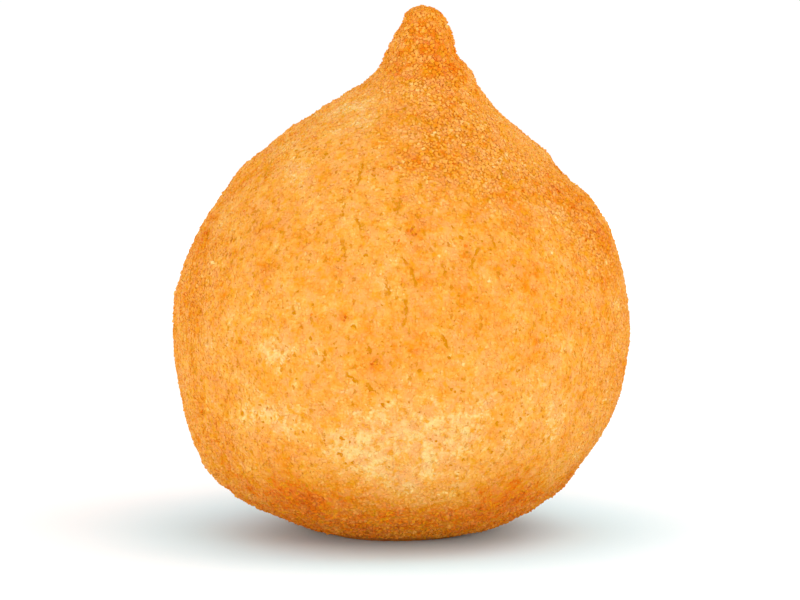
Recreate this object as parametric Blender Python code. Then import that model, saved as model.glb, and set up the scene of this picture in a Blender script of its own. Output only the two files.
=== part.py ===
"""A coxinha: one teardrop of dough, breaded and deep fried, standing on its flattened foot.

Lengths are in metres and +Z is up. The origin is on the surface that it stands on, under the
middle of the belly. The pinched tip leans towards +X, and the side towards -Y is the best one.
"""

import math
import random

import bmesh
import bpy
import numpy as np
from mathutils import Euler, Matrix, Vector, geometry, kdtree, noise

MM = 0.001

# Driving sizes of the teardrop, each a radius from its centre line or a height above the table
HEIGHT = 75.2 * MM
BELLY_RADIUS = 32.5 * MM
BELLY_HEIGHT = 30.4 * MM
FOOT_RADIUS = 9 * MM
SHOULDER_RADIUS = 17.2 * MM
SHOULDER_HEIGHT = 57.3 * MM
NECK_RADIUS = 5.8 * MM
NECK_HEIGHT = 67.2 * MM
TIP_RADIUS = 3.1 * MM
TIP_HEIGHT = 73 * MM

# The teardrop isn't straight: its pinched tip leans one way, and its foot sits a little the other
TIP_LEAN = 2.7 * MM
TIP_LEANS_FROM = 57 * MM
TIP_LEANS_TO = 67 * MM
FOOT_LEAN = -1.3 * MM
FOOT_LEANS_TO = 40 * MM

# The profile's knots: radius, height, the way it runs in degrees (0 outwards, 90 straight up), and
# how far its handles reach back and on
KNOTS = (
    (FOOT_RADIUS, 0, 18, 0, 10 * MM),
    (BELLY_RADIUS, BELLY_HEIGHT, 90, 25 * MM, 14.3 * MM),
    (SHOULDER_RADIUS, SHOULDER_HEIGHT, 137, 7.2 * MM, 3.5 * MM),
    (NECK_RADIUS, NECK_HEIGHT, 124, 7.2 * MM, 1 * MM),
    (TIP_RADIUS, TIP_HEIGHT, 117, 2.4 * MM, 1.5 * MM),
    (0, HEIGHT, 180, 1.8 * MM, 0),
)
KNOT_STEPS = 60

# Relief of the crust, from hand-shaped lumps to crags: how far each stands out, and its span.
# The draw picks which lumps they are.
LUMPS = (0.5 * MM, 17 * MM)
SWELLS = (0.2 * MM, 6.5 * MM)
CRAGS = (0.17 * MM, 3.1 * MM)
RELIEF_DRAW = 111

# Bulges and dents that the hand left: where each is, how far it stands out, and its reach
BULGES = (
    (Vector((-23, -2, 52)) * MM, 0.6 * MM, 3.5 * MM),
    (Vector((23.5, -2, 51.5)) * MM, -0.65 * MM, 3 * MM),
    (Vector((26.5, -2, 47.5)) * MM, 0.6 * MM, 3 * MM),
    (Vector((29, -2, 44)) * MM, 0.35 * MM, 3 * MM),
    (Vector((-32, -3, 33)) * MM, 0.4 * MM, 5 * MM),
    (Vector((32, -3, 33)) * MM, -0.3 * MM, 5 * MM),
    (Vector((-31, -4, 20)) * MM, -0.4 * MM, 6 * MM),
    (Vector((31, -5, 21)) * MM, 0.25 * MM, 4 * MM),
    (Vector((-26, -7, 9)) * MM, 0.6 * MM, 5 * MM),
    (Vector((26, -7, 9)) * MM, -0.45 * MM, 5 * MM),
    (Vector((-1.2, 0, 68.5)) * MM, 0.35 * MM, 2 * MM),
    (Vector((7.2, 0, 68.6)) * MM, -0.55 * MM, 2 * MM),
    (Vector((-0.3, 0, 73)) * MM, -0.3 * MM, 2 * MM),
    (Vector((5.8, 0, 73)) * MM, 0.3 * MM, 2 * MM),
)
FLAT_FOOT_TO = 4 * MM

# The largest crumbs of the coating, which stand out of it far enough to show on its outline
CRUMB_COUNT = 80
CRUMB_LENGTHS = (0.7 * MM, 1.5 * MM)
CRUMB_WIDTH_SHARE = (0.55, 0.85)
CRUMB_UNEVENNESS = 0.22
CRUMB_SUNK_SHARE = 0.25
CRUMBS_FROM_HEIGHT = 5 * MM
CRUMB_SEED = 4
GOLDEN_TURN = math.pi * (3 - math.sqrt(5))

# The core's mesh: a cube ball with this many squares along each side of each of its six faces
CORE_SQUARES = 26

CRUST_COLOUR = (0.86, 0.36, 0.07, 1)
CRUST_ROUGHNESS = 0.6
SHARP_EDGE = math.radians(55)


def clear_scene():
    for thing in list(bpy.data.objects):
        bpy.data.objects.remove(thing, do_unlink=True)


def new_collection(name):
    made = bpy.data.collections.new(name)
    bpy.context.scene.collection.children.link(made)
    return made


def smooth_share(value, low, high):
    """0 below low, 1 above high, and an even swing in between."""
    share = min(max((value - low) / (high - low), 0), 1)
    return share * share * (3 - 2 * share)


def handle(knot, heading, reach):
    """The end of a knot's handle, reach along its heading."""
    angle = math.radians(heading)
    return knot + Vector((math.cos(angle), math.sin(angle), 0)) * reach


def profile():
    """The teardrop's radii and heights, from the middle of its foot round to the top of its tip."""
    points = [Vector((0, 0, 0))]
    for lower, upper in zip(KNOTS, KNOTS[1:]):
        radius, height, way, _, on = lower
        start = Vector((radius, height, 0))
        start_handle = handle(start, way, on)
        radius, height, way, back, _ = upper
        end = Vector((radius, height, 0))
        end_handle = handle(end, way, -back)
        points += geometry.interpolate_bezier(start, start_handle, end_handle, end, KNOT_STEPS)
    line = np.array([point[:2] for point in points])
    return line[:, 0], line[:, 1]


def area_shares(radii, heights):
    """The share of the skin that lies below each point of the profile."""
    lengths = np.hypot(np.diff(radii), np.diff(heights))
    rings = lengths * (radii[:-1] + radii[1:]) / 2
    below = np.concatenate([[0], np.cumsum(rings)])
    return below / below[-1]


def lean(height):
    """How far the centre line lies towards +X at a height."""
    at_tip = TIP_LEAN * smooth_share(height, TIP_LEANS_FROM, TIP_LEANS_TO)
    return at_tip + FOOT_LEAN * (1 - smooth_share(height, 0, FOOT_LEANS_TO))


def relief(place):
    """How far the crust stands out of the even teardrop at a place."""
    out = 0
    for number, (rise, span) in enumerate((LUMPS, SWELLS, CRAGS)):
        out += rise * noise.noise(place / span + Vector((RELIEF_DRAW, number, 0)))
    for middle, rise, reach in BULGES:
        away = (place - middle).length / reach
        out += rise * math.exp(-away * away)
    return out * smooth_share(place.z, 0, FLAT_FOOT_TO)


def cube_ball(squares):
    """A cube with a grid of squares on each face, whose corners then lie evenly on a unit ball."""
    ball = bmesh.new()
    bmesh.ops.create_cube(ball, size=2)
    bmesh.ops.subdivide_edges(ball, edges=ball.edges[:], cuts=squares - 1, use_grid_fill=True)
    for vertex in ball.verts:
        vertex.co = Vector([math.tan(part * math.pi / 4) for part in vertex.co]).normalized()
    return ball


def make_core(collection):
    """The teardrop itself, with its lean and its relief."""
    radii, heights = profile()
    shares = area_shares(radii, heights)
    core = cube_ball(CORE_SQUARES)
    for vertex in core.verts:
        below = (1 + vertex.co.z) / 2
        turn = math.atan2(vertex.co.y, vertex.co.x)
        radius = np.interp(below, shares, radii)
        height = np.interp(below, shares, heights)
        vertex.co = (lean(height) + radius * math.cos(turn), radius * math.sin(turn), height)
    core.normal_update()
    moves = [vertex.normal * relief(vertex.co) for vertex in core.verts]
    for vertex, move in zip(core.verts, moves):
        vertex.co += move
    mesh = bpy.data.meshes.new("coxinha")
    core.to_mesh(mesh)
    core.free()
    made = bpy.data.objects.new("coxinha", mesh)
    collection.objects.link(made)
    return made


def make_crumb(number, place, outwards, draw, collection):
    """One coarse crumb, part sunk in the crust at a place."""
    length = draw.uniform(*CRUMB_LENGTHS)
    widths = [length * draw.uniform(*CRUMB_WIDTH_SHARE) for _ in range(2)]
    crumb = bmesh.new()
    bmesh.ops.create_icosphere(crumb, subdivisions=1, radius=0.5)
    for vertex in crumb.verts:
        vertex.co *= 1 + draw.uniform(-CRUMB_UNEVENNESS, CRUMB_UNEVENNESS)
    turned = Euler([draw.uniform(0, math.tau) for _ in range(3)]).to_matrix().to_4x4()
    lifted = place + outwards * min(widths) * (0.5 - CRUMB_SUNK_SHARE)
    bmesh.ops.transform(
        crumb,
        matrix=Matrix.Translation(lifted) @ turned @ Matrix.Diagonal((length, *widths, 1)),
        verts=crumb.verts,
    )
    mesh = bpy.data.meshes.new(f"crumb_{number}")
    crumb.to_mesh(mesh)
    crumb.free()
    collection.objects.link(bpy.data.objects.new(f"crumb_{number}", mesh))


def scatter_crumbs(core, collection):
    """Crumbs at even steps of a golden spiral over the core's skin, above its foot."""
    draw = random.Random(CRUMB_SEED)
    radii, heights = profile()
    shares = area_shares(radii, heights)
    lowest = float(np.interp(CRUMBS_FROM_HEIGHT, heights, shares))
    skin = kdtree.KDTree(len(core.data.vertices))
    for vertex in core.data.vertices:
        skin.insert(vertex.co, vertex.index)
    skin.balance()
    for number in range(CRUMB_COUNT):
        below = lowest + (1 - lowest) * (number + 0.5) / CRUMB_COUNT
        turn = number * GOLDEN_TURN
        radius = np.interp(below, shares, radii)
        height = np.interp(below, shares, heights)
        aim = Vector((lean(height) + radius * math.cos(turn), radius * math.sin(turn), height))
        _, nearest, _ = skin.find(aim)
        vertex = core.data.vertices[nearest]
        make_crumb(number, vertex.co, vertex.normal, draw, collection)


def fuse(core, crumbs):
    """Joins the crumbs to the core with one Boolean, and removes them."""
    join = core.modifiers.new("crumbs", "BOOLEAN")
    join.operation = "UNION"
    join.operand_type = "COLLECTION"
    join.collection = crumbs
    join.solver = "EXACT"
    graph = bpy.context.evaluated_depsgraph_get()
    joined = bpy.data.meshes.new_from_object(core.evaluated_get(graph))
    core.modifiers.clear()
    plain = core.data
    core.data = joined
    bpy.data.meshes.remove(plain)
    joined.name = core.name
    for crumb in list(crumbs.objects):
        bpy.data.meshes.remove(crumb.data)
    bpy.data.collections.remove(crumbs)


def crust_material():
    made = bpy.data.materials.new("fried_crust")
    made.use_nodes = True
    shader = made.node_tree.nodes["Principled BSDF"]
    shader.inputs["Base Color"].default_value = CRUST_COLOUR
    shader.inputs["Roughness"].default_value = CRUST_ROUGHNESS
    shader.inputs["Metallic"].default_value = 0
    return made


def main():
    clear_scene()
    whole = new_collection("Coxinha")
    crumbs = new_collection("Crumbs")
    core = make_core(whole)
    scatter_crumbs(core, crumbs)
    fuse(core, crumbs)
    core.data.materials.clear()
    core.data.materials.append(crust_material())
    core.data.shade_smooth()
    core.data.set_sharp_from_angle(angle=SHARP_EDGE)


if __name__ == "__main__":
    main()
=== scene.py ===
"""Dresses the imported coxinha: its breaded crust, the crumbs that lie on it, and a pale studio.

Lengths are in metres and +Z is up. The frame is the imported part's, with the best side towards -Y.
"""

import math
from collections import namedtuple

import bmesh
import bpy
import numpy as np
from bpy.props import (
    FloatProperty,
    FloatVectorProperty,
    IntProperty,
    PointerProperty,
)
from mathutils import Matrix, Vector, geometry, kdtree, noise


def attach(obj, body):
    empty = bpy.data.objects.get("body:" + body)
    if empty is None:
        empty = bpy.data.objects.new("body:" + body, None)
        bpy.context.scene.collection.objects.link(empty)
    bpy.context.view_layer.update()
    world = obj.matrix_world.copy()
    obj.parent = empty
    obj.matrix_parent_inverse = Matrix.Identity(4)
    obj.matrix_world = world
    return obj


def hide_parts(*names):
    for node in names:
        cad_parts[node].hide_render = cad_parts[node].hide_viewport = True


bl_info = {
    "name": "Coxinha Crust",
    "version": (1, 0, 0),
    "blender": (4, 5, 0),
    "location": "3D View > Sidebar > Coxinha",
    "description": "Builds the breaded crust, the crumbs and the studio of a fried coxinha",
    "category": "Object",
}

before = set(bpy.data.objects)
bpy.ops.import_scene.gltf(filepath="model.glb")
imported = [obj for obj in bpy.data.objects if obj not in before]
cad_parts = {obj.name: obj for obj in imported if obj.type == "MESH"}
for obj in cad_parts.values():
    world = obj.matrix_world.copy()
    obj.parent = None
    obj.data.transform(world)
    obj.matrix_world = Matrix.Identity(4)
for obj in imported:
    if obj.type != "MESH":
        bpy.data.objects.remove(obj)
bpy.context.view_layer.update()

MM = 0.001
NODE = "coxinha"
BODY = "root"
CRUST = "breaded_crust"

# How the even teardrop runs at each knot, in degrees, and how far the knot's handles reach
FOOT_RUN = (18, 0, 10 * MM)
BELLY_RUN = (90, 25 * MM, 14.3 * MM)
SHOULDER_RUN = (137, 7.2 * MM, 3.5 * MM)
NECK_RUN = (124, 7.2 * MM, 1 * MM)
TIP_RUN = (117, 2.4 * MM, 1.5 * MM)
TOP_RUN = (180, 1.8 * MM, 0)
KNOT_STEPS = 60
TIP_LEANS = (57 * MM, 67 * MM)
FOOT_LEANS = (0, 40 * MM)

# Relief, from hand-shaped lumps down to grit: how far each stands out, and its span
LUMPS = (0.5 * MM, 17 * MM)
SWELLS = (0.2 * MM, 6.5 * MM)
CRAGS = (0.17 * MM, 3.1 * MM)
RELIEF_DRAW = 111
FLAT_FOOT_FROM = 0.5 * MM
FLAT_FOOT_TO = 4 * MM
PEBBLE_SPAN = 1.6 * MM
GRIT_SPAN = 0.8 * MM
FINE_RELIEF_SHARES = (0.5, 1.2)

# Bulges and dents that the hand left: where each is, how far it stands out, and its reach, in mm
BULGES = (
    ((-23, -2, 52), 0.6, 3.5),
    ((23.5, -2, 51.5), -0.65, 3),
    ((26.5, -2, 47.5), 0.6, 3),
    ((29, -2, 44), 0.35, 3),
    ((-32, -3, 33), 0.4, 5),
    ((32, -3, 33), -0.3, 5),
    ((-31, -4, 20), -0.4, 6),
    ((31, -5, 21), 0.25, 4),
    ((-26, -7, 9), 0.6, 5),
    ((26, -7, 9), -0.45, 5),
    ((-1.2, 0, 68.5), 0.35, 2),
    ((7.2, 0, 68.6), -0.55, 2),
    ((-0.3, 0, 73), -0.3, 2),
    ((5.8, 0, 73), 0.3, 2),
)

# Where the coat is thicker or, below 0, thinner than the solid's: place, how far, and reach, in mm
COAT_SWELLS = (
    ((-8.1, 0, 63.2), 0.4, 4), ((-11.5, 1, 61.3), 0.4, 2.5), ((-20.5, 1.5, 54.5), 0.2, 4),
    ((-33, 0, 34.3), 0.35, 1.8), ((-33, 0, 30), -0.35, 2.5), ((-31.5, 0, 22), -0.3, 3.5),
    ((-24.8, -6, 6.9), -0.5, 1.6), ((-25.4, -2.8, 6.9), -0.55, 1.6), ((-25.3, 0.5, 6.9), -0.5, 1.6),
    ((30.5, -1.5, 16.7), 0.3, 2), ((23, -2.4, 6.5), 0.35, 2.5), ((26, 1.5, 49.3), 0.3, 1.8),
    ((9.3, 0, 66.6), 0.55, 2), ((7.4, 0, 70.4), 0.4, 1.8), ((9.5, 0, 63), 0.3, 3),
    ((20.3, 1.5, 55), 0.55, 2.5), ((23, 2, 51.3), -0.55, 1.7), ((27.8, 0, 46.2), -0.3, 2),
)
FOOT_SPREAD = 1.8 * MM
FOOT_SPREADS = ((7 * MM, 0), (-2 * MM, 12 * MM))

# Cracks of the best side, each from one place to another, across and up in mm
CRACKS = (
    ((-5.6, 55), (-6.4, 52.2)), ((-8.4, 50.7), (-8.9, 50.2)), ((-8.1, 49.9), (-8.8, 47.9)),
    ((-6.6, 48.1), (-5.7, 46.6)), ((-0.5, 50.6), (-0.9, 48.8)), ((-0.2, 43.1), (0.4, 42.2)),
    ((1.2, 41.5), (1.7, 39.3)), ((-2.4, 40.2), (-2.1, 38.1)), ((5.5, 42.1), (5.9, 40.8)),
    ((10.5, 44.1), (9.3, 41.6)), ((0.2, 37.3), (0.5, 35.1)), ((0.5, 35.1), (-0.1, 33.8)),
    ((5.3, 32.3), (6.3, 30.6)), ((-7.9, 26.9), (-6.3, 25.8)), ((-5.3, 25.4), (-3.5, 24.3)),
    ((13.7, 53.9), (13.9, 52.7)), ((-8.5, 45.2), (-8.1, 43)), ((-4.9, 31.1), (-4.6, 30)),
    ((-10.9, 30), (-11.1, 28.5)), ((12.4, 45.2), (12.8, 44.1)),
)
STRAY_CRACKS = 110
STRAY_CRACK_LENGTHS = (0.7 * MM, 2.4 * MM)
CRACK_SLANT = 0.4
STRAYS_BEHIND = -18 * MM
CRACKS_BETWEEN = (8 * MM, 57 * MM)
CRACK_FIELD = 1.2 * MM
CRACK_FADE = 0.4 * MM

# Pits of the best side, across and up in mm
PITS = (
    (-10.8, 55.8), (-4.4, 56.4), (-4.1, 53.4), (14.7, 51.3), (15.4, 50.1), (15.3, 41.4),
    (14.9, 45.6), (6.9, 46.8), (8.1, 45.6), (12.6, 47.1), (7.8, 37.9), (0.4, 31), (5.3, 33.7),
    (6.3, 29.2), (-9.4, 31.1), (-2, 23.2), (6.7, 24.7), (8.1, 24.7), (-8.6, 17.7), (-8.8, 15.3),
    (-0.9, 52.7), (-27, 29.8), (-26.2, 33.3), (-21.1, 43), (-20.2, 37), (-15.1, 56), (19, 45.7),
)
STRAY_PITS = 330
PIT_SIZES = (0.6, 1.2)

# How many times its reach a pit goes on for
PIT_EDGE = 2.2

# Specks that the oil toasted on the best side, across and up in mm
TOASTED = (
    (-7.4, 51.5), (-1.9, 54.4), (1.3, 46.5), (22.1, 35.8), (-8.2, 35), (8.7, 44.4), (-4.2, 28.5),
    (1.4, 46.2), (20.5, 52.5), (22, 50.5), (28, 38), (-28.5, 43.5), (-29.5, 37),
)
TOASTED_REACH = 0.8
TOASTED_BROWNING = -0.16
STRAY_TOASTED = 60

# How pale most of the coat is, on the scale of tones from 0, toasted, to 1, palest
EVEN_TONE = 0.7

# Patches of the best side: across and up, reach, and how much paler or, below 0, browner they are. Those at
# the foot also paint light and shade
TONE_PATCHES = (
    ((5, 70.5), 4, -0.12), ((6.5, 66.5), 2.5, -0.08), ((5.1, 56.6), 7, -0.07),
    ((-10.5, 36.1), 0.9, 0.25), ((-6.8, 33.9), 0.8, 0.25), ((12, 38), 5, 0.04), ((24, 49), 5, -0.2),
    ((27.7, 43.2), 6, -0.13), ((-30.1, 36.1), 5, -0.14), ((-29, 19), 5, -0.06),
    ((-27, 13), 4, -0.07), ((-28.8, 42.7), 4, -0.13), ((-19.8, 42.1), 1.6, -0.12),
    ((-19.1, 39.6), 1.6, -0.1), ((-25.5, 32.8), 2, 0.08), ((-20.2, 29.7), 2, 0.1),
    # The first three patches here shape the foot's band: the two browner ones deepen its browning and
    # painted shade, and the paler one on its front is painted light
    ((-16, 10), 6, -0.38), ((15, 8.5), 5, -0.26), ((0, 9.5), 5, 0.22), ((14, 44.5), 4, -0.1),
    ((18, 41), 3, -0.08), ((18, 34), 3.5, -0.1), ((5.3, 37.5), 3, -0.06), ((-18, 32), 5, 0.07),
    ((-8, 62), 4, 0.12), ((-14, 54), 5, 0.12), ((12, 54.5), 5, 0.06), ((13.5, 52.5), 3, -0.08),
    ((15.9, 45.8), 2, -0.12), ((28.1, 42), 1.8, -0.15), ((29.8, 37.1), 2, -0.12),
    ((24.5, 45.7), 2, -0.1), ((-7.6, 23.5), 2, -0.1), ((13.5, 41.5), 3, -0.08),
    ((22.3, 38.6), 3, -0.1), ((27.8, 33.4), 2.5, -0.12), ((16.7, 30.7), 2.5, -0.09),
    ((-18.3, 30.7), 2, 0.07), ((-18.9, 14.4), 3, 0.05), ((-13.5, 8.7), 2, -0.08),
    ((-3.9, 23), 2.5, -0.08), ((4.4, 13), 2, -0.12), ((-27, 41), 3, 0.06), ((-19, 17), 6, 0.11),
    ((-20, 50), 6, -0.09), ((1, 50), 5, 0.08), ((11.1, 34.2), 3, -0.08), ((-4.6, 28.4), 2.2, -0.14),
    ((2.6, 29.1), 2, -0.12), ((-6.1, 60.2), 5, 0.1), ((-19.9, 31), 6, 0.04), ((-20, 20), 6, 0.08),
    # The last patch here and the one after it lighten the foot's band of browning and painted shade at its
    # two sides
    ((20, 21), 7, 0.1), ((-6, 17), 7, 0.3), ((4, 18), 7, 0.33), ((26, 8.5), 4, 0.12),
    ((-26, 8.5), 4, 0.08),
)
TIP_BROWNS = (62 * MM, 70 * MM)
TIP_BROWNING = -0.16
# The foot's darker band is partly browning and partly painted shade of the underside, which turns down
# towards the floor
FOOT_BAND = (12.5 * MM, 3.5 * MM)
FOOT_BROWNING_AND_SHADE = -0.37
BROWNS_WANDER = (1.2 * MM, 5 * MM)
HIDDEN_TONES = (-0.15, 0.12)

# Patches where the grains stand out most: across and up, reach, and how much
GRAINY_PATCHES = (
    ((3.5, 70.5), 8, 0.8), ((7.5, 60.5), 8, 0.8), ((5, 55), 7, 0.7), ((14.5, 53), 7, 0.6),
    ((23.5, 48.8), 7, 0.7), ((28, 42), 7, 0.6), ((-29.5, 37), 7, 0.6), ((-26, 13), 7, 0.5),
    ((-1, 18), 9, 0.25), ((30, 27), 6, 0.4),
)
EVEN_GRAIN = 0.1
FOOT_GRAIN = 0.4
HIDDEN_GRAINS = (-0.1, 0.7)
HIDDEN_PATCHES = 18
HIDDEN_REACHES = (4 * MM, 9 * MM)


class CoxinhaForm(bpy.types.PropertyGroup):
    """Sizes of the teardrop under the coat."""

    height: FloatProperty(
        name="Height", description="Foot to top", default=75.2 * MM, unit="LENGTH"
    )
    belly_radius: FloatProperty(
        name="Belly radius", description="Widest radius", default=32.5 * MM, unit="LENGTH"
    )
    belly_height: FloatProperty(
        name="Belly height", description="Height of the widest place", default=30.4 * MM, unit="LENGTH"
    )
    foot_radius: FloatProperty(
        name="Foot radius", description="Radius of the flat foot", default=9 * MM, unit="LENGTH"
    )
    shoulder_radius: FloatProperty(
        name="Shoulder radius", description="Radius at the shoulder", default=17.2 * MM, unit="LENGTH"
    )
    shoulder_height: FloatProperty(
        name="Shoulder height", description="Height of the shoulder", default=57.3 * MM, unit="LENGTH"
    )
    neck_radius: FloatProperty(
        name="Neck radius", description="Radius under the tip", default=5.8 * MM, unit="LENGTH"
    )
    neck_height: FloatProperty(
        name="Neck height", description="Height of the neck", default=67.2 * MM, unit="LENGTH"
    )
    tip_radius: FloatProperty(
        name="Tip radius", description="Radius of the pinched tip", default=3.1 * MM, unit="LENGTH"
    )
    tip_height: FloatProperty(
        name="Tip height", description="Height where the tip rounds off", default=73 * MM, unit="LENGTH"
    )
    tip_lean: FloatProperty(
        name="Tip lean", description="How far the tip leans over", default=2.7 * MM, unit="LENGTH"
    )
    foot_lean: FloatProperty(
        name="Foot lean", description="How far the foot sits over", default=-1.3 * MM, unit="LENGTH"
    )


class CoxinhaCoat(bpy.types.PropertyGroup):
    """Sizes of the breadcrumb coat."""

    squares: IntProperty(
        name="Squares", description="Squares along a side of the crust's mesh", default=128, min=8, max=128
    )
    pebbles: FloatProperty(
        name="Pebbles", description="How far clumps stand out", default=0.12 * MM, unit="LENGTH"
    )
    grit: FloatProperty(
        name="Grit", description="How far grains stand out", default=0.09 * MM, unit="LENGTH"
    )
    pit_depth: FloatProperty(
        name="Pit depth", description="Depth of a pit", default=0.15 * MM, unit="LENGTH"
    )
    pit_reach: FloatProperty(
        name="Pit reach", description="Half width of a pit", default=0.4 * MM, unit="LENGTH"
    )
    crack_depth: FloatProperty(
        name="Crack depth", description="Depth of a crack", default=0.15 * MM, unit="LENGTH"
    )
    crack_reach: FloatProperty(
        name="Crack reach", description="Half width of a crack", default=0.26 * MM, unit="LENGTH"
    )
    inset: FloatProperty(
        name="Inset", description="Room that the crumbs take on the crust", default=0.2 * MM, unit="LENGTH"
    )
    cover: FloatProperty(
        name="Cover", description="Share of the places that hold a crumb", default=0.42, subtype="FACTOR"
    )
    cover_grainy: FloatProperty(
        name="Grainy cover", description="What a grainy patch adds to it", default=0.22, subtype="FACTOR"
    )
    seed: IntProperty(name="Seed", description="Seed of every random draw", default=7)


class CoxinhaColours(bpy.types.PropertyGroup):
    """Colours of the coat, from the darkest grain to the palest."""

    toasted: FloatVectorProperty(
        name="Toasted", description="Specks", default=(0.5, 0.1, 0.004, 1), size=4, subtype="COLOR"
    )
    browned: FloatVectorProperty(
        name="Browned", description="Dark patches", default=(0.69, 0.155, 0.004, 1), size=4, subtype="COLOR"
    )
    amber: FloatVectorProperty(
        name="Amber", description="Deep orange", default=(0.67, 0.22, 0.008, 1), size=4, subtype="COLOR"
    )
    golden: FloatVectorProperty(
        name="Golden",
        description="Most of the coat",
        default=(0.735, 0.305, 0.039, 1),
        size=4,
        subtype="COLOR",
    )
    pale: FloatVectorProperty(
        name="Pale", description="Light grains", default=(0.75, 0.385, 0.078, 1), size=4, subtype="COLOR"
    )
    palest: FloatVectorProperty(
        name="Palest", description="Lightest grains", default=(0.77, 0.54, 0.21, 1), size=4, subtype="COLOR"
    )
    ochre: FloatVectorProperty(
        name="Ochre", description="Oily specks", default=(0.68, 0.28, 0.005, 1), size=4, subtype="COLOR"
    )
    peach: FloatVectorProperty(
        name="Peach", description="Dry patches", default=(0.745, 0.345, 0.115, 1), size=4, subtype="COLOR"
    )
    # The hollows' colour: the ochre of the gaps and oily flecks, made darker as painted shade for pits,
    # cracks and gaps
    hollow: FloatVectorProperty(
        name="Hollow",
        description="Pits and cracks",
        default=(0.56, 0.205, 0.002, 1),
        size=4,
        subtype="COLOR",
    )


class CoxinhaStudio(bpy.types.PropertyGroup):
    """Light, floor and camera."""

    sky: FloatProperty(name="Sky", description="Strength of the white surround", default=1.055)
    front: FloatProperty(
        name="Front", description="Power of the front light", default=0.46, unit="POWER"
    )
    right: FloatProperty(
        name="Right", description="Power of the light on the right", default=0.4, unit="POWER"
    )
    left: FloatProperty(
        name="Left", description="Power of the light on the left", default=0.41, unit="POWER"
    )
    back: FloatProperty(
        name="Back", description="Power of the light behind", default=0.12, unit="POWER"
    )
    top: FloatProperty(
        name="Top", description="Power of the light above, on the right", default=0.22, unit="POWER"
    )
    floor_size: FloatProperty(
        name="Floor size", description="Side of the floor", default=8, unit="LENGTH"
    )
    camera_distance: FloatProperty(
        name="Camera distance", description="Camera to the object", default=0.9, unit="LENGTH"
    )
    camera_elevation: FloatProperty(
        name="Camera elevation", description="Angle above level", default=math.radians(7), subtype="ANGLE"
    )
    lens: FloatProperty(
        name="Lens", description="Focal length in mm on a 36 mm sensor", default=283.8, unit="CAMERA"
    )


def smooth_share(values, low, high):
    """0 on low's side, 1 on high's side, and an even swing in between."""
    share = np.clip((values - low) / (high - low), 0, 1)
    return share * share * (3 - 2 * share)


def wander(places, span, draw):
    """Smooth noise of a span at each place, from about -1 to 1."""
    scaled = places / span + np.array(draw)
    return np.array([noise.noise(place) for place in scaled.tolist()])


def random_ways(draws, count):
    """Directions spread evenly over a ball."""
    ways = draws.normal(size=(count, 3))
    return ways / np.linalg.norm(ways, axis=1, keepdims=True)


class Teardrop:
    """The even teardrop before any relief. A way is a unit vector, and equal shares of the ball of
    all ways are equal shares of the skin."""

    def __init__(self, form):
        self.tip_lean = form.tip_lean
        self.foot_lean = form.foot_lean
        knots = (
            (form.foot_radius, 0, FOOT_RUN),
            (form.belly_radius, form.belly_height, BELLY_RUN),
            (form.shoulder_radius, form.shoulder_height, SHOULDER_RUN),
            (form.neck_radius, form.neck_height, NECK_RUN),
            (form.tip_radius, form.tip_height, TIP_RUN),
            (0, form.height, TOP_RUN),
        )
        points = [Vector((0, 0, 0))]
        for lower, upper in zip(knots, knots[1:]):
            start, _, start_handle = self.knot_points(*lower)
            end, end_handle, _ = self.knot_points(*upper)
            points += geometry.interpolate_bezier(start, start_handle, end_handle, end, KNOT_STEPS)
        self.radii, self.heights = np.array([point[:2] for point in points]).T
        lengths = np.hypot(np.diff(self.radii), np.diff(self.heights))
        rings = lengths * (self.radii[:-1] + self.radii[1:]) / 2
        self.shares = np.concatenate([[0], np.cumsum(rings)]) / rings.sum()

    @staticmethod
    def knot_points(radius, height, run):
        """A knot, its handle back and its handle on."""
        degrees, back, on = run
        knot = Vector((radius, height, 0))
        heading = Vector((math.cos(math.radians(degrees)), math.sin(math.radians(degrees)), 0))
        return knot, knot - heading * back, knot + heading * on

    def lean(self, heights):
        """How far the centre line lies towards +X at each height."""
        at_tip = self.tip_lean * smooth_share(heights, *TIP_LEANS)
        return at_tip + self.foot_lean * (1 - smooth_share(heights, *FOOT_LEANS))

    def place(self, ways):
        """The skin's place in each way."""
        below = (1 + ways[:, 2]) / 2
        radii = np.interp(below, self.shares, self.radii)
        heights = np.interp(below, self.shares, self.heights)
        flat = np.hypot(ways[:, 0], ways[:, 1])
        flat = np.where(flat > 0, flat, 1)
        across = self.lean(heights) + radii * ways[:, 0] / flat
        return np.column_stack([across, radii * ways[:, 1] / flat, heights])

    def way(self, places):
        """The way of each place on or near the skin, above the foot."""
        rise = 2 * np.interp(places[:, 2], self.heights, self.shares) - 1
        turn = np.arctan2(places[:, 1], places[:, 0] - self.lean(places[:, 2]))
        flat = np.sqrt(1 - rise * rise)
        return np.column_stack([flat * np.cos(turn), flat * np.sin(turn), rise])

    def front(self, across, height):
        """The skin's place towards -Y at a place across and up, both in mm."""
        x, z = across * MM, height * MM
        radius = np.interp(z, self.heights, self.radii)
        sideways = x - self.lean(z)
        return np.array([x, -math.sqrt(max(radius**2 - sideways**2, 0)), z])


def soft_sum(places, spots):
    """The sum at each place of soft spots, each with its middle, its reach and its amount."""
    out = np.zeros(len(places))
    for middle, reach, amount in spots:
        away = np.linalg.norm(places - middle, axis=1) / reach
        out += amount * np.exp(-away * away)
    return out


def relief(places):
    """How far the crust stands out of the even teardrop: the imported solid's relief, and the coat's."""
    out = np.zeros(len(places))
    for bulges in (BULGES, COAT_SWELLS):
        spots = [(np.array(spot) * MM, reach * MM, rise * MM) for spot, rise, reach in bulges]
        out += soft_sum(places, spots)
    for number, (rise, span) in enumerate((LUMPS, SWELLS, CRAGS)):
        out += rise * wander(places, span, (RELIEF_DRAW, number, 0))
    return out * smooth_share(places[:, 2], 0, FLAT_FOOT_TO)


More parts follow.
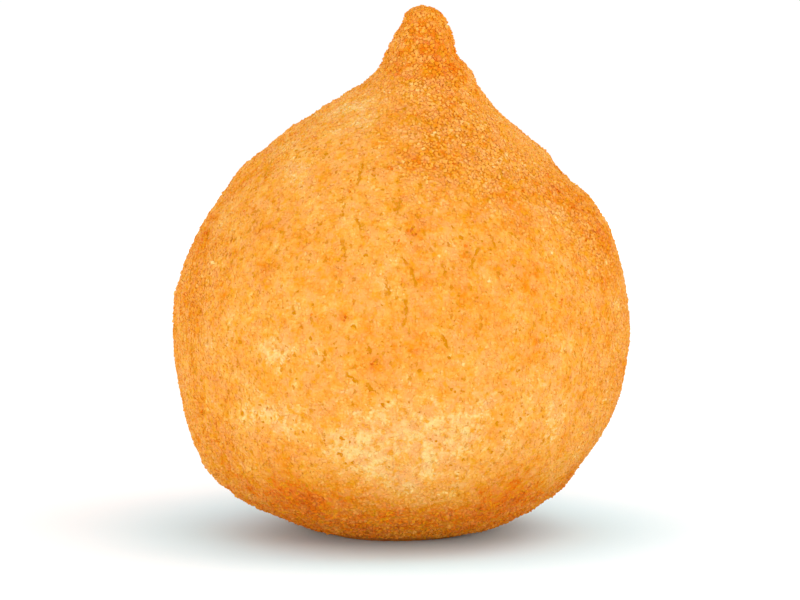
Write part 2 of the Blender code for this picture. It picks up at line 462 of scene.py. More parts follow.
def spread_foot(places):
    """Pushes the foot's right side out a little, as it is in the photograph."""
    low, right = FOOT_SPREADS
    out = places.copy()
    out[:, 0] += FOOT_SPREAD * smooth_share(places[:, 2], *low) * smooth_share(places[:, 0], *right)
    return out


def drawn_patches(places, teardrop, spots):
    """The sum of soft patches of the best side."""
    placed = [(teardrop.front(*spot), reach * MM, amount) for spot, reach, amount in spots]
    return soft_sum(places, placed)


def hidden_patches(places, teardrop, seed, amounts):
    """Patches of the sides that the best side hides, drawn at random."""
    draws = np.random.default_rng(seed)
    ways = random_ways(draws, HIDDEN_PATCHES)
    ways[:, 1] = abs(ways[:, 1])
    reaches = draws.uniform(*HIDDEN_REACHES, HIDDEN_PATCHES)
    strengths = draws.uniform(*amounts, HIDDEN_PATCHES)
    return soft_sum(places, zip(teardrop.place(ways), reaches, strengths))


def coat_tone(places, teardrop, seed):
    """The coat's slow change of tone: browned at its tip, darker at its foot from browning and painted
    shade of the underside, and in patches.
    """
    rise, span = BROWNS_WANDER
    uneven = places[:, 2] + rise * wander(places, span, (seed, 5, 0))
    # Browning and painted shade on the foot's underside
    foot = FOOT_BROWNING_AND_SHADE * smooth_share(uneven, *FOOT_BAND)
    tip = TIP_BROWNING * smooth_share(uneven, *TIP_BROWNS)
    specks = tuple((spot, TOASTED_REACH, TOASTED_BROWNING) for spot in TOASTED)
    drawn = drawn_patches(places, teardrop, TONE_PATCHES + specks)
    hidden = hidden_patches(places, teardrop, seed, HIDDEN_TONES)
    return EVEN_TONE + foot + tip + drawn + hidden


def graininess(places, teardrop, seed):
    """How much the grains stand out, from 0 to 1."""
    foot = FOOT_GRAIN * smooth_share(places[:, 2], *FOOT_BAND)
    drawn = drawn_patches(places, teardrop, GRAINY_PATCHES)
    hidden = hidden_patches(places, teardrop, seed + 1, HIDDEN_GRAINS)
    return np.clip(EVEN_GRAIN + foot + drawn + hidden, 0, 1)


def crack_ends(teardrop, seed):
    """Where each crack starts and ends: those of the best side, then strays all round."""
    ends = [(teardrop.front(*start), teardrop.front(*end)) for start, end in CRACKS]
    draws = np.random.default_rng(seed + 2)
    ways = random_ways(draws, STRAY_CRACKS)
    lengths = draws.uniform(*STRAY_CRACK_LENGTHS, STRAY_CRACKS)
    slants = draws.normal(0, CRACK_SLANT, STRAY_CRACKS)
    starts = teardrop.place(ways)
    for start, length, slant in zip(starts, lengths, slants):
        if not CRACKS_BETWEEN[0] < start[2] < CRACKS_BETWEEN[1] or start[1] < STRAYS_BEHIND:
            continue
        height = start[2] - length
        turn = math.atan2(start[1], start[0] - teardrop.lean(start[2]))
        radius = np.interp(height, teardrop.heights, teardrop.radii)
        turn += slant * length / radius
        across = teardrop.lean(height) + radius * math.cos(turn)
        ends.append((start, np.array([across, radius * math.sin(turn), height])))
    return ends


def crack_fields(places, normals, ends):
    """For each place, how far it lies to one side of the nearest crack, in mm, and how much it lies
    within that crack's length. The material draws the crack's thin line from both."""
    across = np.full(len(places), CRACK_FIELD / MM)
    within = np.zeros(len(places))
    nearest = np.full(len(places), CRACK_FIELD)
    for start, end in ends:
        length = np.linalg.norm(end - start)
        along = (end - start) / length
        away = np.linalg.norm(places - (start + end) / 2, axis=1)
        close = np.flatnonzero(away < length / 2 + CRACK_FIELD)
        offset = places[close] - start
        step = offset @ along
        side = np.einsum("ij,ij->i", offset, np.cross(along, normals[close]))
        beyond = np.maximum(np.maximum(-step, step - length), 0)
        away = np.hypot(side, beyond)
        taken = away < nearest[close]
        mine = close[taken]
        nearest[mine] = away[taken]
        across[mine] = side[taken] / MM
        within[mine] = 1 - smooth_share(beyond[taken], 0, CRACK_FADE)
    return across, within


def pit_places(teardrop, seed):
    """The place and the size of each pit: those of the best side, then strays all round."""
    draws = np.random.default_rng(seed + 3)
    strays = teardrop.place(random_ways(draws, STRAY_PITS))
    strays = strays[strays[:, 2] > FLAT_FOOT_TO]
    spots = [teardrop.front(*pit) for pit in PITS] + list(strays)
    return zip(spots, draws.uniform(*PIT_SIZES, len(spots)))


def dig_pits(places, pits, reach, depth):
    """How far the pits sink the crust at each place, and how much of a pit each place is."""
    tree = kdtree.KDTree(len(places))
    for index, place in enumerate(places.tolist()):
        tree.insert(place, index)
    tree.balance()
    sunk = np.zeros(len(places))
    hollow = np.zeros(len(places))
    for spot, size in pits:
        for _, index, away in tree.find_range(spot, PIT_EDGE * reach * size):
            share = math.exp(-((away / (reach * size)) ** 2))
            sunk[index] = max(sunk[index], depth * size * share)
            hollow[index] = max(hollow[index], share)
    return sunk, hollow


def finished_mesh(form, name):
    """A mesh of a form that is then freed."""
    mesh = bpy.data.meshes.new(name)
    form.to_mesh(mesh)
    form.free()
    return mesh


def new_object(name, data):
    made = bpy.data.objects.new(name, data)
    bpy.context.scene.collection.objects.link(made)
    return made


def cube_ball(squares):
    """A cube with a grid of squares on each face, blown up to a ball, as a mesh and its ways."""
    ball = bmesh.new()
    bmesh.ops.create_cube(ball, size=2)
    bmesh.ops.subdivide_edges(ball, edges=ball.edges[:], cuts=squares - 1, use_grid_fill=True)
    mesh = finished_mesh(ball, CRUST)
    ways = np.tan(read_vectors(mesh.vertices, "co") * math.pi / 4)
    return mesh, ways / np.linalg.norm(ways, axis=1, keepdims=True)


def read_vectors(things, name):
    """A vector of every vertex or other thing, one in a row."""
    flat = np.empty(len(things) * 3, np.float32)
    things.foreach_get(name, flat)
    return flat.reshape(-1, 3).astype(float)


def write_points(mesh, places):
    mesh.vertices.foreach_set("co", places.astype(np.float32).ravel())
    mesh.update()


def write_values(mesh, name, values):
    """Keeps one number for each vertex, for the material to read."""
    layer = mesh.attributes.new(name, "FLOAT", "POINT")
    layer.data.foreach_set("value", values.astype(np.float32))


def read_values(mesh, name):
    values = np.empty(len(mesh.vertices), np.float32)
    mesh.attributes[name].data.foreach_get("value", values)
    return values


# How far past its square's edge a face may reach on the map, and half of the square's used width
BAKE_SPILL = 1.04
BAKE_SHARE = 0.47


def write_bake_map(mesh, corner_ways, corner_faces):
    """A map on six squares, one for each side of the ball of ways. Each corner has its way and the
    way of what it belongs to, which picks the square."""
    side = np.argmax(abs(corner_faces), axis=1)
    rows = np.arange(len(side))
    sign = np.sign(corner_faces[rows, side])
    along = corner_ways[rows, side] * sign
    first = corner_ways[rows, (side + 1) % 3] / along
    second = corner_ways[rows, (side + 2) % 3] / along
    spread = np.arctan(np.column_stack([first, second])) * 4 / math.pi
    inset = np.clip(spread, -BAKE_SPILL, BAKE_SPILL) * BAKE_SHARE + 0.5
    column = side
    row = (sign > 0).astype(int)
    places = (inset + np.column_stack([column, row])) / np.array([3, 2])
    layer = mesh.uv_layers.new(name="OFBake")
    layer.data.foreach_set("uv", places.astype(np.float32).ravel())


def corner_vertices(mesh):
    indices = np.empty(len(mesh.loops), np.int32)
    mesh.loops.foreach_get("vertex_index", indices)
    return indices


def add_piece(mesh, name):
    """The mesh as an object of the scene, riding on the part's body."""
    piece = new_object(name, mesh)
    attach(piece, BODY)
    return piece


class Nodes:
    """A short way to add and link a material's nodes."""

    def __init__(self, name):
        self.material = bpy.data.materials.new(name)
        self.material.use_nodes = True
        self.tree = self.material.node_tree
        self.shader = self.tree.nodes["Principled BSDF"]

    def add(self, kind, inputs, output=0, **settings):
        """Adds a node, sets or links its inputs, and returns one of its outputs."""
        node = self.tree.nodes.new(kind)
        for name, value in settings.items():
            setattr(node, name, value)
        for name, value in inputs.items():
            self.feed(node.inputs[name], value)
        return node.outputs[output]

    def feed(self, socket, value):
        if isinstance(value, bpy.types.NodeSocket):
            self.tree.links.new(value, socket)
        else:
            socket.default_value = value

    def math(self, operation, *values):
        return self.add("ShaderNodeMath", dict(enumerate(values)), operation=operation)

    def attribute(self, name):
        return self.add("ShaderNodeAttribute", {}, output="Fac", attribute_name=name)

    def noise(self, span, detail):
        where = self.tree.nodes.get("Where") or self.where()
        inputs = {"Vector": where.outputs["Object"], "Scale": 1 / span, "Detail": detail}
        return self.add("ShaderNodeTexNoise", inputs)

    def cells(self, span, output, upright=1):
        """Cells of a span, and so many times that span tall."""
        where = self.tree.nodes.get("Where") or self.where()
        vector = where.outputs["Object"]
        if upright != 1:
            flattening = {0: vector, 1: (1, 1, 1 / upright)}
            vector = self.add("ShaderNodeVectorMath", flattening, operation="MULTIPLY")
        return self.add("ShaderNodeTexVoronoi", {"Vector": vector, "Scale": 1 / span}, output=output)

    def where(self):
        node = self.tree.nodes.new("ShaderNodeTexCoord")
        node.name = "Where"
        return node

    def swing(self, value, amount):
        """A value from 0 to 1 turned into one from -amount to amount."""
        return self.math("MULTIPLY_ADD", value, 2 * amount, -amount)

    def wander(self, span, detail, amount):
        """Noise of a span and a detail, from -amount to amount."""
        return self.swing(self.noise(span, detail), amount)

    def map_range(self, value, old, new):
        """A value between two bounds brought between two others, smoothly, and held there."""
        inputs = {
            "Value": value,
            "From Min": old[0],
            "From Max": old[1],
            "To Min": new[0],
            "To Max": new[1],
        }
        return self.add("ShaderNodeMapRange", inputs, interpolation_type="SMOOTHSTEP")

    def patchy(self, noise, edge, low=0, high=1):
        """A noise of a span and a detail, brought from low to high over an edge."""
        return self.map_range(self.noise(*noise), edge, (low, high))

    def total(self, *values):
        out = values[0]
        for value in values[1:]:
            out = self.math("ADD", out, value)
        return out

    def roughen(self, height, bump, unevenness, roughness):
        """Gives the shader a bump and an uneven, faint gloss."""
        normal = self.add("ShaderNodeBump", {"Height": height, **bump}, output="Normal")
        self.feed(self.shader.inputs["Normal"], normal)
        rough = self.math("MULTIPLY_ADD", unevenness, *roughness)
        self.feed(self.shader.inputs["Roughness"], rough)
        self.shader.inputs["Specular IOR Level"].default_value = GLOSS

    def colour(self, tone, gaps, colours):
        """Gives the shader the blotched colour of a tone, with the hollows' colour, ochre with painted
        shade, in the gaps.
        """
        whole = blotched(self, self.tones(tone, colours), colours)
        self.feed(self.shader.inputs["Base Color"], mix_colours(self, gaps, whole, colours.hollow))

    def tones(self, tone, colours):
        """The coat's colour at a tone, from 0 for toasted to 1 for palest."""
        ramp = self.tree.nodes.new("ShaderNodeValToRGB")
        stops = (
            (0.0, colours.toasted),
            (0.25, colours.browned),
            (0.45, colours.amber),
            (0.65, colours.golden),
            (0.85, colours.pale),
            (1.0, colours.palest),
        )
        elements = ramp.color_ramp.elements
        for place, colour in stops[1:-1]:
            elements.new(place)
        for element, (place, colour) in zip(elements, stops):
            element.position = place
            element.color = colour
        self.feed(ramp.inputs["Fac"], tone)
        return ramp.outputs["Color"]


# How the cracks' lines wander, and how their width and strength change: each noise's span and detail,
# then what it does
WIDE_WANDER = (0.9 * MM, 1, 0.5)
NARROW_WANDER = (0.35 * MM, 2, 0.4)
CRACK_WIDTH_NOISE = (0.5 * MM, 2)
CRACK_WIDTHS = (1.15, -0.36)
CRACK_EDGE = (1.4, 0.6)
CRACK_STRENGTHS = ((0.7 * MM, 2), (0.36, 0.54), 0.8, 1)


def crack_lines(nodes):
    """A crack's thin wandering line, 1 on it and 0 off it, from the fields that the crust keeps. It is
    painted in the hollows' colour, ochre with painted shade.
    """
    wide = nodes.wander(*WIDE_WANDER)
    narrow = nodes.wander(*NARROW_WANDER)
    aside = nodes.math("ABSOLUTE", nodes.total(nodes.attribute("crack_across"), wide, narrow))
    reach = nodes.math("MULTIPLY_ADD", nodes.noise(*CRACK_WIDTH_NOISE), *CRACK_WIDTHS)
    line = nodes.map_range(nodes.math("DIVIDE", aside, reach), CRACK_EDGE, (0, 1))
    drawn = nodes.math("MULTIPLY", line, nodes.patchy(*CRACK_STRENGTHS))
    return nodes.math("MULTIPLY", drawn, nodes.attribute("crack_within"))


# Specks between the crumbs: the span of their cells, how tall these are beside it, how ragged a speck
# is, where its edge lies on the way out of its cell, and its strength
Specks = namedtuple("Specks", "span upright ragged edge strength")
# Pores and grain gaps are painted shade between the crumbs, in the hollows' colour
PORES = Specks(0.8 * MM, 1, (0.4 * MM, 1, 0.25), (0.26, 0.12), 1)
FLECKS = Specks(1.3 * MM, 1.6, (0.5 * MM, 2, 0.3), (0.23, 0.13), 0.75)
GRAIN_GAPS = Specks(0.55 * MM, 1, (0.3 * MM, 1, 0.2), (0.45, 0.65), 0.5)

# The groups that they come in, a noise and its edge, and how much fewer flecks a pale place has
PORE_GROUPS = ((3.4 * MM, 2), (0.47, 0.6))
FLECK_GROUPS = ((5 * MM, 1), (0.38, 0.52))
FLECKS_FADE = (0.75, 1)
FLECK_SHARES = (1, 0.35)


def specks(nodes, kind):
    """Specks of a kind, up to its strength on them and 0 off them."""
    cells = nodes.cells(kind.span, "Distance", kind.upright)
    uneven = nodes.total(cells, nodes.wander(*kind.ragged))
    return nodes.map_range(uneven, kind.edge, (0, kind.strength))


def pores(nodes):
    """Small round gaps between the crumbs, in loose groups, painted as shade in the hollows' colour."""
    return nodes.math("MULTIPLY", specks(nodes, PORES), nodes.patchy(*PORE_GROUPS))


def flecks(nodes):
    """Upright ochre flecks as wide as a crumb, where the oil has soaked in."""
    grouped = nodes.math("MULTIPLY", specks(nodes, FLECKS), nodes.patchy(*FLECK_GROUPS))
    fewer = nodes.map_range(nodes.attribute("tone"), FLECKS_FADE, FLECK_SHARES)
    return nodes.math("MULTIPLY", grouped, fewer)


def grain_gaps(nodes):
    """The gaps between the grains, where these stand out most, painted as shade in the hollows' colour."""
    return nodes.math("MULTIPLY", specks(nodes, GRAIN_GAPS), nodes.attribute("grainy"))


# Dry blotches and oily specks: their noise, its edge, and how much of their colour they have
DRY = ((1.7 * MM, 4), (0.4, 0.64), 0, 0.75)
DRY_BY_TONE = 0.95
OILY = ((0.9 * MM, 2), (0.5, 0.72), 0, 0.8)


def blotched(nodes, colour, colours):
    """A colour with dry, peachy blotches and oily, ochre specks over it."""
    by_tone = nodes.math("MULTIPLY", nodes.attribute("tone"), DRY_BY_TONE)
    dry = nodes.math("MULTIPLY", nodes.patchy(*DRY), by_tone)
    dried = mix_colours(nodes, dry, colour, colours.peach)
    return mix_colours(nodes, nodes.patchy(*OILY), dried, colours.ochre)


# The noises that shift the coat's tone, each with its span and detail
SLOW_NOISE = (4.5 * MM, 3)
QUICK_NOISE = (1 * MM, 3)
FINE_NOISE = (0.35 * MM, 2)
CRUMB_NOISE = (0.3 * MM, 2)
GRAIN_SPAN = 0.4 * MM

# How far each shifts it, on the crust and then on the crumbs
SLOW_SWING = 0.4
QUICK_SWING = 0.31
FINE_SWING = 0.18
GRAIN_SWING = 0.06
GRAINY_SHADE = -0.2
CRUMB_QUICK_SWING = 0.24
CRUMB_FINE_SWING = 0.08

# Pits: how ragged they are, and where their edge lies
PIT_RAGGED = (0.5 * MM, 2, 0.9)
PIT_RIM = (0.5, 0.8)

# Bump: how far down the grains' edges and the gaps lie, and its strength and depth
GRAIN_FALL = -0.6
GAP_FALL = -1.2
CRUST_BUMP = {"Strength": 0.7, "Distance": 0.12 * MM}
CRUMB_BUMP = {"Strength": 0.5, "Distance": 0.05 * MM}

# Gloss: how much a noise roughens it, and how rough it is without that
CRUST_ROUGHNESS = (0.3, 0.42)
CRUMB_ROUGHNESS = (0.3, 0.38)
GLOSS = 0.02

# Light that soaks into the crust: its share, how far each colour goes, and the scale of that
SOAKED_SHARE = 0.4
SOAKED_WAYS = (1, 0.45, 0.12)
SOAKED_SCALE = 0.4 * MM


def crust_material(colours):
    """Packed fine crumbs: mottled tones, each grain its own, ochre with painted shade in the pits, cracks
    and gaps, and a gritty bump.
    """
    nodes = Nodes(CRUST)
    slow = nodes.noise(*SLOW_NOISE)
    quick = nodes.noise(*QUICK_NOISE)
    fine = nodes.noise(*FINE_NOISE)
    grain = nodes.add("ShaderNodeSeparateColor", {"Color": nodes.cells(GRAIN_SPAN, "Color")})
    tone = nodes.total(
        nodes.attribute("tone"),
        nodes.swing(slow, SLOW_SWING),
        nodes.swing(quick, QUICK_SWING),
        nodes.swing(fine, FINE_SWING),
        nodes.swing(grain, GRAIN_SWING),
        nodes.math("MULTIPLY", nodes.attribute("grainy"), GRAINY_SHADE),
    )
    ragged = nodes.wander(*PIT_RAGGED)
    pits = nodes.map_range(nodes.total(nodes.attribute("hollow"), ragged), PIT_RIM, (0, 1))
    # The pits, cracks and gaps take the hollows' colour: their ochre and painted shade
    gaps = pits
    for kind in (crack_lines, pores, flecks, grain_gaps):
        gaps = nodes.math("MAXIMUM", gaps, kind(nodes))
    nodes.colour(tone, gaps, colours)
    domes = nodes.math("MULTIPLY", nodes.cells(GRAIN_SPAN, "Distance"), GRAIN_FALL)
    height = nodes.total(domes, fine, nodes.math("MULTIPLY", gaps, GAP_FALL))
    nodes.roughen(height, CRUST_BUMP, quick, CRUST_ROUGHNESS)
    nodes.shader.inputs["Subsurface Weight"].default_value = SOAKED_SHARE
    nodes.shader.inputs["Subsurface Radius"].default_value = SOAKED_WAYS
    nodes.shader.inputs["Subsurface Scale"].default_value = SOAKED_SCALE
    return nodes.material


def mix_colours(nodes, share, first, second):
    """First, with a share of second over it."""
    node = nodes.tree.nodes.new("ShaderNodeMix")
    node.data_type = "RGBA"
    factor, colour_a, colour_b = (node.inputs[number] for number in (0, 6, 7))
    nodes.feed(factor, share)
    nodes.feed(colour_a, first)
    nodes.feed(colour_b, second)
    return node.outputs[2]


def crumb_material(colours, kind):
    """A crumb's own tone, with blotches, flecks and a little grain."""
    nodes = Nodes(kind)
    slow = nodes.noise(*SLOW_NOISE)
    quick = nodes.noise(*QUICK_NOISE)
    fine = nodes.noise(*CRUMB_NOISE)
    tone = nodes.total(
        nodes.attribute("tone"),
        nodes.swing(slow, SLOW_SWING),
        nodes.swing(quick, CRUMB_QUICK_SWING),
        nodes.swing(fine, CRUMB_FINE_SWING),
    )
    nodes.colour(tone, flecks(nodes), colours)
    nodes.roughen(fine, CRUMB_BUMP, fine, CRUMB_ROUGHNESS)
    return nodes.material


class COXINHA_OT_crust(bpy.types.Operator):
    """Builds the crust: the teardrop with its lumps, pits and cracks"""

    bl_idname = "coxinha.crust"
    bl_label = "Build Crust"

    def execute(self, context):
        coat = context.scene.coxinha_coat
        teardrop = Teardrop(context.scene.coxinha_form)
        mesh, ways = cube_ball(coat.squares)
        even = teardrop.place(ways)
        write_points(mesh, even)
        normals = read_vectors(mesh.vertex_normals, "vector")

        flat = smooth_share(even[:, 2], FLAT_FOOT_FROM, FLAT_FOOT_TO)
        grainy = graininess(even, teardrop, coat.seed)
        fine = coat.pebbles * wander(even, PEBBLE_SPAN, (coat.seed, 1, 0))
        fine += coat.grit * wander(even, GRIT_SPAN, (coat.seed, 2, 0))
        fine *= np.interp(grainy, (0, 1), FINE_RELIEF_SHARES) * flat

        pits = pit_places(teardrop, coat.seed)
        sunk, hollow = dig_pits(even, pits, coat.pit_reach, coat.pit_depth)
        ends = crack_ends(teardrop, coat.seed)
        across, within = crack_fields(even, normals, ends)
        trench = within * np.exp(-((across * MM / coat.crack_reach) ** 2))

        rise = relief(even) + fine - sunk - coat.crack_depth * trench - coat.inset * flat
        write_points(mesh, spread_foot(even + normals * rise[:, None]))
        write_values(mesh, "hollow", hollow)
        write_values(mesh, "crack_across", across)
        write_values(mesh, "crack_within", within)
        write_values(mesh, "grainy", grainy)
        write_values(mesh, "tone", coat_tone(even, teardrop, coat.seed))

        corners = corner_vertices(mesh)
        face_ways = ways[corners].reshape(-1, 4, 3).mean(axis=1)
        write_bake_map(mesh, ways[corners], np.repeat(face_ways, 4, axis=0))
        mesh.shade_smooth()
        mesh.materials.append(crust_material(context.scene.coxinha_colours))
        piece = add_piece(mesh, CRUST)
        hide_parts(NODE)
        return {"FINISHED"}


# A kind of crumb: its shape, the share of all crumbs that it is, its lengths in mm, how thick it is
# beside its length, its tone beside the crust's, and how much that varies
CrumbKind = namedtuple("CrumbKind", "shape share lengths thickness tone spread")
CRUMB_KINDS = {
    "golden_crumbs": CrumbKind("nugget", 0.21, (0.38, 0.68), 0.55, 0.02, 0.07),
    "amber_crumbs": CrumbKind("nugget", 0.21, (0.38, 0.7), 0.55, -0.1, 0.07),
    "pale_crumbs": CrumbKind("shard", 0.34, (0.32, 0.6), 0.6, 0.1, 0.08),
    "browned_crumbs": CrumbKind("nugget", 0.24, (0.36, 0.66), 0.6, -0.14, 0.07),
}
TOASTED_CRUMBS = "toasted_crumbs"
TOASTED_KIND = CrumbKind("nugget", 0, (0.35, 0.6), 0.6, -0.35, 0.1)
SMOOTH_CONTRAST = 0.5
GRAINY_CONTRAST = 0.42
MOST_TRIANGLES = 198_000
CRUMB_SCALES = (1, 1.3)
SUNK_SHARES = (0.46, 0.37)
PALEST_CRUMB = 0.9
CRUMB_TILT = 0.28
CRUMB_WIDTHS = (0.55, 0.95)
CRUMB_THICKNESSES = (0.8, 1.2)
CORNER_SHIFT = 0.1
CRUMB_UNEVENNESS = 0.25
TOASTED_CLUSTER = 4
TOASTED_SCATTER = 0.2 * MM

# Where crumbs lie: how hollow or near a crack a place may be, how high it is, and how large a square
# of the crust counts in full
MOST_HOLLOW = 0.3
OPEN_CRACK = (0.4, 0.5)
CRUMBS_FROM = 1 * MM
LARGEST_SQUARE = 1.6


def crumb_shape(shape):
    """A crumb's plain form, one unit long."""
    form = bmesh.new()
    if shape == "nugget":
        bmesh.ops.create_icosphere(form, subdivisions=1, radius=0.5)
    else:
        bmesh.ops.create_cube(form, size=0.8)
        bmesh.ops.triangulate(form, faces=form.faces[:])
    return finished_mesh(form, shape)


def repeated(name, plain, count):
    """A mesh of so many copies of a plain form."""
    copier = new_object(name, plain)
    copies = copier.modifiers.new("copies", "ARRAY")
    copies.use_relative_offset = False
    copies.count = count
    graph = bpy.context.evaluated_depsgraph_get()
    joined = bpy.data.meshes.new_from_object(copier.evaluated_get(graph))
    bpy.data.objects.remove(copier)
    joined.name = name
    return joined


def build_crumbs(name, kind, spots, normals, tones, grainy, teardrop, draws):
    """One mesh of many crumbs, each turned, stretched and dented its own way, and part sunk."""
    plain = crumb_shape(kind.shape)
    corners = read_vectors(plain.vertices, "co")
    count, size = len(spots), len(corners)
    shortest, longest = kind.lengths
    length = draws.triangular(shortest, shortest, longest, count) * MM
    length *= np.interp(grainy, (0, 1), CRUMB_SCALES)
    sunk = np.interp(grainy, (0, 1), SUNK_SHARES)
    width = length * draws.uniform(*CRUMB_WIDTHS, count)
    thickness = length * kind.thickness * draws.uniform(*CRUMB_THICKNESSES, count)
    stretch = np.column_stack([length, width, thickness])
    dents = 1 + draws.uniform(-CRUMB_UNEVENNESS, CRUMB_UNEVENNESS, (count, size, 1))
    shifts = draws.uniform(-CORNER_SHIFT, CORNER_SHIFT, (count, size, 3))
    local = (corners * dents + shifts) * stretch[:, None, :]
    up = normals + draws.normal(0, CRUMB_TILT, (count, 3))
    up /= np.linalg.norm(up, axis=1, keepdims=True)
    along = np.cross(up, draws.normal(size=(count, 3)))
    along /= np.linalg.norm(along, axis=1, keepdims=True)
    aside = np.cross(up, along)
    axes = np.stack([along, aside, up], axis=1)
    lifted = spots + normals * (thickness * (0.5 - sunk))[:, None]
    places = np.einsum("nvk,nkx->nvx", local, axes) + lifted[:, None, :]
    everything = places.reshape(-1, 3)

    mesh = repeated(name, plain, count)
    write_points(mesh, everything)
    write_values(mesh, "tone", np.repeat(tones, size))
    owners = np.repeat(teardrop.way(spots), len(plain.loops), axis=0)
    write_bake_map(mesh, teardrop.way(everything)[corner_vertices(mesh)], owners)
    return mesh


class COXINHA_OT_crumbs(bpy.types.Operator):
    """Scatters the crumbs over the crust, one piece for each kind"""

    bl_idname = "coxinha.crumbs"
    bl_label = "Scatter Crumbs"

    def execute(self, context):
        coat = context.scene.coxinha_coat
        colours = context.scene.coxinha_colours
        teardrop = Teardrop(context.scene.coxinha_form)
        crust = bpy.data.objects.get(CRUST)
        if crust is None:
            raise RuntimeError("Build the crust before its crumbs")
        draws = np.random.default_rng(coat.seed + 4)

        corners = corner_vertices(crust.data).reshape(-1, 4)
        points = read_vectors(crust.data.vertices, "co")[corners]
        middles = points.mean(axis=1)
        across = np.cross(points[:, 2] - points[:, 0], points[:, 3] - points[:, 1])
        areas = np.linalg.norm(across, axis=1)
        normals = across / areas[:, None]
        hollow = read_values(crust.data, "hollow")[corners].max(axis=1)
        aside = abs(read_values(crust.data, "crack_across")[corners]).mean(axis=1)
        within = read_values(crust.data, "crack_within")[corners].mean(axis=1)
        open_crack = (aside < OPEN_CRACK[0]) & (within > OPEN_CRACK[1])
        # The crust's tone, whose foot band and foot patches carry painted light and shade, passes to the
        # crumbs
        tones = read_values(crust.data, "tone")[corners].mean(axis=1)
        grainy = read_values(crust.data, "grainy")[corners].mean(axis=1)
        shift = draws.uniform(-0.5, 0.5, (len(middles), 2, 1))
        spots = middles + shift[:, 0] * (points[:, 1] - points[:, 0])
        spots += shift[:, 1] * (points[:, 3] - points[:, 0])

        cover = coat.cover + coat.cover_grainy * grainy
        chance = cover * np.minimum(areas / areas.mean(), LARGEST_SQUARE)
        chance *= (hollow < MOST_HOLLOW) & (middles[:, 2] > CRUMBS_FROM) & ~open_crack
        chosen = draws.random(len(middles)) < chance

        shares = [kind.share for kind in CRUMB_KINDS.values()]
        kind_of = draws.choice(len(CRUMB_KINDS), len(middles), p=shares)
        for number, (name, kind) in enumerate(CRUMB_KINDS.items()):
            mine = np.flatnonzero(chosen & (kind_of == number))
            most = MOST_TRIANGLES // len(crumb_shape(kind.shape).polygons)
            mine = draws.permutation(mine)[:most]
            contrast = SMOOTH_CONTRAST + GRAINY_CONTRAST * grainy[mine]
            own = tones[mine] + contrast * (kind.tone + draws.normal(0, kind.spread, len(mine)))
            own = np.minimum(own, PALEST_CRUMB)
            lie = (spots[mine], normals[mine], own, grainy[mine])
            mesh = build_crumbs(name, kind, *lie, teardrop, draws)
            mesh.materials.append(crumb_material(colours, name))
            add_piece(mesh, name)

        named = np.array([teardrop.front(*spot) for spot in TOASTED])
        nearest = [int(np.argmin(np.linalg.norm(middles - spot, axis=1))) for spot in named]
        clusters = np.repeat(nearest, TOASTED_CLUSTER)
        strays = draws.choice(np.flatnonzero(middles[:, 2] > FLAT_FOOT_TO), STRAY_TOASTED)
        mine = np.concatenate([clusters, strays])
        jitter = draws.normal(0, TOASTED_SCATTER, (len(mine), 3))
        jitter -= normals[mine] * (jitter * normals[mine]).sum(axis=1, keepdims=True)
        own = tones[mine] + TOASTED_KIND.tone + draws.normal(0, TOASTED_KIND.spread, len(mine))
        lie = (middles[mine] + jitter, normals[mine], own, grainy[mine])
        mesh = build_crumbs(TOASTED_CRUMBS, TOASTED_KIND, *lie, teardrop, draws)
        mesh.materials.append(crumb_material(colours, TOASTED_CRUMBS))
        add_piece(mesh, TOASTED_CRUMBS)
        return {"FINISHED"}


# The floor's colour near its middle and far from it, and from where to where it changes. The cooler colour
# near the middle is a painted tint that cancels the crust's warm bounce light
NEAR_FLOOR = (0.74, 0.93, 1, 1)
FAR_FLOOR = (0.955, 0.955, 0.955, 1)
COOL_FLOOR = (28 * MM, 55 * MM)

# Each light's size and place, in metres
LAMPS = {
    "front": (0.07, (-0.02, -0.43, 0.08)),
    "right": (0.15, (0.36, -0.3, 0.12)),
    "left": (0.09, (-0.42, -0.18, 0.05)),
    "back": (0.15, (0.05, 0.45, 0.1)),
    "top": (0.2, (0.22, -0.05, 0.36)),
}

# What the lights and the camera look at, in mm
LOOKED_AT = (-0.47, 0, 33.4)
NEAREST_SEEN = 10 * MM


def add_light(name, power, size, place, target):
    """A square soft light that looks at a target."""
    light = bpy.data.lights.new(name, "AREA")
    light.energy = power
    light.size = size
    lamp = new_object(name, light)
    lamp.location = place
    lamp.rotation_euler = (Vector(target) - Vector(place)).to_track_quat("-Z", "Y").to_euler()


def floor_material():
    """White, with a painted cool tint near the middle that cancels the crust's warm bounce light falling on
    it.
    """
    nodes = Nodes("floor")
    where = nodes.where().outputs["Object"]
    away = nodes.add("ShaderNodeVectorMath", {0: where}, output="Value", operation="LENGTH")
    far = nodes.map_range(away, COOL_FLOOR, (0, 1))
    nodes.feed(nodes.shader.inputs["Base Color"], mix_colours(nodes, far, NEAR_FLOOR, FAR_FLOOR))
    nodes.shader.inputs["Roughness"].default_value = 1
    nodes.shader.inputs["Specular IOR Level"].default_value = 0
    return nodes.material


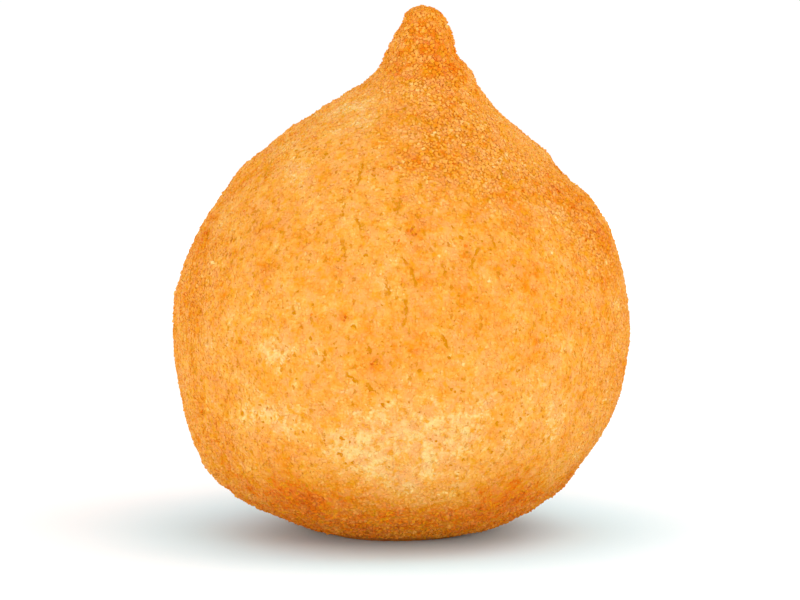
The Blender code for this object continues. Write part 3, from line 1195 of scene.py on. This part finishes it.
class COXINHA_OT_studio(bpy.types.Operator):
    """Sets up the pale floor, the soft light and the camera"""

    bl_idname = "coxinha.studio"
    bl_label = "Set Up Studio"

    def execute(self, context):
        studio = context.scene.coxinha_studio
        scene = context.scene

        floor = bmesh.new()
        bmesh.ops.create_grid(floor, x_segments=1, y_segments=1, size=studio.floor_size / 2)
        mesh = finished_mesh(floor, "floor")
        mesh.materials.append(floor_material())
        ground = new_object("floor", mesh)

        world = bpy.data.worlds.new("studio")
        world.use_nodes = True
        surround = world.node_tree.nodes["Background"]
        surround.inputs["Color"].default_value = (1, 1, 1, 1)
        surround.inputs["Strength"].default_value = studio.sky
        scene.world = world
        scene.view_settings.view_transform = "Standard"

        middle = Vector(LOOKED_AT) * MM
        for name, (size, place) in LAMPS.items():
            add_light(name, getattr(studio, name), size, place, middle)

        camera = new_object("camera", bpy.data.cameras.new("camera"))
        camera.data.lens = studio.lens
        camera.data.clip_start = NEAREST_SEEN
        back = Vector((0, -math.cos(studio.camera_elevation), math.sin(studio.camera_elevation)))
        camera.location = middle + back * studio.camera_distance
        camera.rotation_euler = (math.pi / 2 - studio.camera_elevation, 0, 0)
        scene.camera = camera
        return {"FINISHED"}


class VIEW3D_PT_coxinha(bpy.types.Panel):
    """Shows the settings of each group, with the buttons that build the crust, the crumbs and the studio"""

    bl_idname = "VIEW3D_PT_coxinha"
    bl_label = "Coxinha"
    bl_space_type = "VIEW_3D"
    bl_region_type = "UI"
    bl_category = "Coxinha"

    def draw(self, context):
        for group, operator in (
            ("coxinha_form", None),
            ("coxinha_coat", COXINHA_OT_crust),
            ("coxinha_colours", COXINHA_OT_crumbs),
            ("coxinha_studio", COXINHA_OT_studio),
        ):
            box = self.layout.box()
            settings = getattr(context.scene, group)
            for name in type(settings).__annotations__:
                box.prop(settings, name)
            if operator:
                box.operator(operator.bl_idname)


CLASSES = (
    CoxinhaForm,
    CoxinhaCoat,
    CoxinhaColours,
    CoxinhaStudio,
    COXINHA_OT_crust,
    COXINHA_OT_crumbs,
    COXINHA_OT_studio,
    VIEW3D_PT_coxinha,
)
GROUPS = {
    "coxinha_form": CoxinhaForm,
    "coxinha_coat": CoxinhaCoat,
    "coxinha_colours": CoxinhaColours,
    "coxinha_studio": CoxinhaStudio,
}


def register():
    for cls in CLASSES:
        bpy.utils.register_class(cls)
    for name, group in GROUPS.items():
        setattr(bpy.types.Scene, name, PointerProperty(type=group))


def unregister():
    for name in GROUPS:
        delattr(bpy.types.Scene, name)
    for cls in reversed(CLASSES):
        bpy.utils.unregister_class(cls)


def main():
    register()
    bpy.ops.coxinha.crust()
    bpy.ops.coxinha.crumbs()
    bpy.ops.coxinha.studio()


if __name__ == "__main__":
    main()
